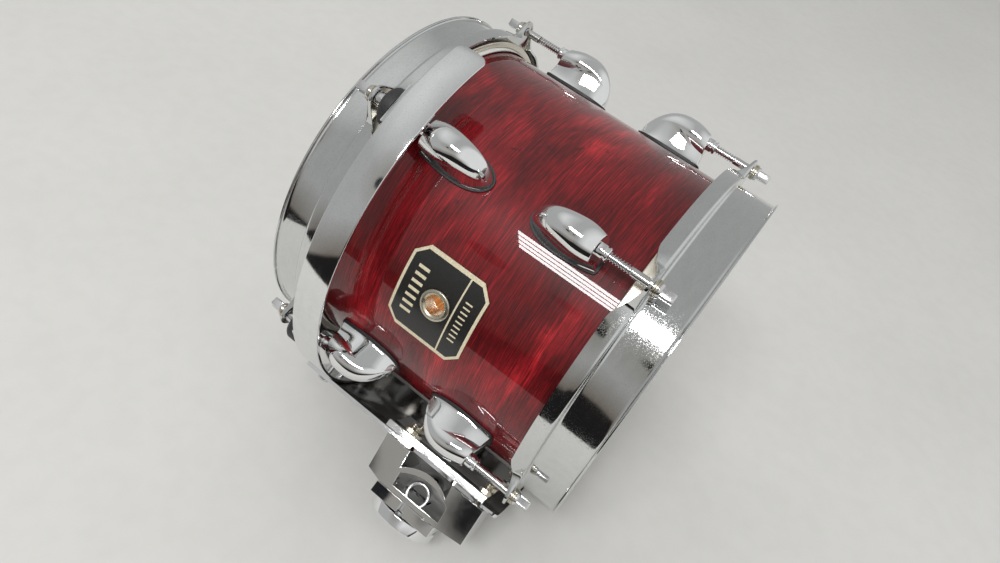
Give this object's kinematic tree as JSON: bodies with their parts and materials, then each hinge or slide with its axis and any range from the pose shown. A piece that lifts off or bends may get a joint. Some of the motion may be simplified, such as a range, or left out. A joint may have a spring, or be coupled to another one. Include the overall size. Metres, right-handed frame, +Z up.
{
  "type": "tom tom drum",
  "caption": "Rack tom drum with a lacquered wood shell, chrome flanged hoops, tension rods and lugs, a suspension ring and a clamp bracket, lying on its side.",
  "frame": {"origin": "centre of the bounding box's base, on the floor under the drum", "axes": "+Z up from the floor; +X along the drum's axis, tipped by about two degrees, towards the resonant head; the mount bracket is on the -Y side"},
  "size_m": [0.2642, 0.3344, 0.3162],
  "materials": {
    "red_lacquer": "gloss clear lacquer over stained wood",
    "chrome": "polished",
    "bright_steel": "smooth",
    "brass": "plated",
    "black_rubber": "matt",
    "hoop_aluminium": "satin",
    "head_film": "coated white",
    "badge_metal": "gloss black with cream edge"
  },
  "bodies": {
    "drum": {"backing_plate": "chrome", "badge": "badge_metal", "batter_counterhoop": "chrome", "batter_flesh_hoop": "hoop_aluminium", "batter_head_film": "head_film", "batter_lug_1": "chrome", "batter_lug_2": "chrome", "batter_lug_3": "chrome", "batter_lug_4": "chrome", "batter_lug_5": "chrome", "batter_lug_gasket_1": "black_rubber", "batter_lug_gasket_2": "black_rubber", "batter_lug_gasket_3": "black_rubber", "batter_lug_gasket_4": "black_rubber", "batter_lug_gasket_5": "black_rubber", "bracket_body": "chrome", "bracket_screw_1": "brass", "bracket_screw_2": "brass", "bracket_screw_3": "brass", "bracket_screw_4": "brass", "clamp_bar": "chrome", "isolation_rubber_1": "black_rubber", "isolation_rubber_2": "black_rubber", "isolation_rubber_3": "black_rubber", "isolation_rubber_4": "black_rubber", "mount_plate": "chrome", "resonant_counterhoop": "chrome", "resonant_flesh_hoop": "hoop_aluminium", "resonant_head_film": "head_film", "resonant_lug_1": "chrome", "resonant_lug_2": "chrome", "resonant_lug_3": "chrome", "resonant_lug_4": "chrome", "resonant_lug_5": "chrome", "resonant_lug_gasket_1": "black_rubber", "resonant_lug_gasket_2": "black_rubber", "resonant_lug_gasket_3": "black_rubber", "resonant_lug_gasket_4": "black_rubber", "resonant_lug_gasket_5": "black_rubber", "ring_screw_1": "bright_steel", "ring_screw_2": "bright_steel", "shell": "red_lacquer", "suspension_ring": "chrome", "vent_grommet": "chrome"},
    "resonant_tension_rod_1": {"resonant_tension_rod_1": "bright_steel"},
    "resonant_tension_rod_2": {"resonant_tension_rod_2": "bright_steel"},
    "resonant_tension_rod_3": {"resonant_tension_rod_3": "bright_steel"},
    "resonant_tension_rod_4": {"resonant_tension_rod_4": "bright_steel"},
    "resonant_tension_rod_5": {"resonant_tension_rod_5": "bright_steel"},
    "batter_tension_rod_1": {"batter_tension_rod_1": "bright_steel"},
    "batter_tension_rod_2": {"batter_tension_rod_2": "bright_steel"},
    "batter_tension_rod_3": {"batter_tension_rod_3": "bright_steel"},
    "batter_tension_rod_4": {"batter_tension_rod_4": "bright_steel"},
    "batter_tension_rod_5": {"batter_tension_rod_5": "bright_steel"},
    "clamp_knob": {"clamp_knob": "chrome"},
    "eye_bolt": {"eye_bolt": "bright_steel"}
  },
  "joints": [
    {"name": "resonant_tension_rod_1_turn", "type": "hinge", "parent": "drum", "child": "resonant_tension_rod_1", "pos_m": [0.10806, -0.0729, 0.27517], "axis": [0.9994, 0, -0.034], "continuous": true},
    {"name": "resonant_tension_rod_2_turn", "type": "hinge", "parent": "drum", "child": "resonant_tension_rod_2", "pos_m": [0.10789, 0.09937, 0.27036], "axis": [0.9994, 0, -0.034], "continuous": true},
    {"name": "resonant_tension_rod_3_turn", "type": "hinge", "parent": "drum", "child": "resonant_tension_rod_3", "pos_m": [0.10227, 0.14803, 0.10513], "axis": [0.9994, 0, -0.034], "continuous": true},
    {"name": "resonant_tension_rod_4_turn", "type": "hinge", "parent": "drum", "child": "resonant_tension_rod_4", "pos_m": [0.09895, 0.00583, 0.00782], "axis": [0.9994, 0, -0.034], "continuous": true},
    {"name": "resonant_tension_rod_5_turn", "type": "hinge", "parent": "drum", "child": "resonant_tension_rod_5", "pos_m": [0.10253, -0.13071, 0.11291], "axis": [0.9994, 0, -0.034], "continuous": true},
    {"name": "batter_tension_rod_1_turn", "type": "hinge", "parent": "drum", "child": "batter_tension_rod_1", "pos_m": [-0.09982, -0.0729, 0.28225], "axis": [-0.9994, 0, 0.034], "continuous": true},
    {"name": "batter_tension_rod_2_turn", "type": "hinge", "parent": "drum", "child": "batter_tension_rod_2", "pos_m": [-0.09999, 0.09937, 0.27744], "axis": [-0.9994, 0, 0.034], "continuous": true},
    {"name": "batter_tension_rod_3_turn", "type": "hinge", "parent": "drum", "child": "batter_tension_rod_3", "pos_m": [-0.10561, 0.14803, 0.11221], "axis": [-0.9994, 0, 0.034], "continuous": true},
    {"name": "batter_tension_rod_4_turn", "type": "hinge", "parent": "drum", "child": "batter_tension_rod_4", "pos_m": [-0.10893, 0.00583, 0.0149], "axis": [-0.9994, 0, 0.034], "continuous": true},
    {"name": "batter_tension_rod_5_turn", "type": "hinge", "parent": "drum", "child": "batter_tension_rod_5", "pos_m": [-0.10535, -0.13071, 0.11999], "axis": [-0.9994, 0, 0.034], "continuous": true},
    {"name": "clamp_knob_turn", "type": "hinge", "parent": "drum", "child": "clamp_knob", "pos_m": [0.03646, -0.14619, 0.02363], "axis": [-0.0221, -0.7615, -0.6477], "range_deg": [0, 1080]},
    {"name": "eye_bolt_slide", "type": "slide", "parent": "drum", "child": "eye_bolt", "axis": [0.0221, 0.7615, 0.6477], "range_m": [0, 0.00375]}
  ],
  "couplings": [
    {"joint": "eye_bolt_slide", "follows": "clamp_knob_turn", "m_per_rad": 0.00019894}
  ]
}
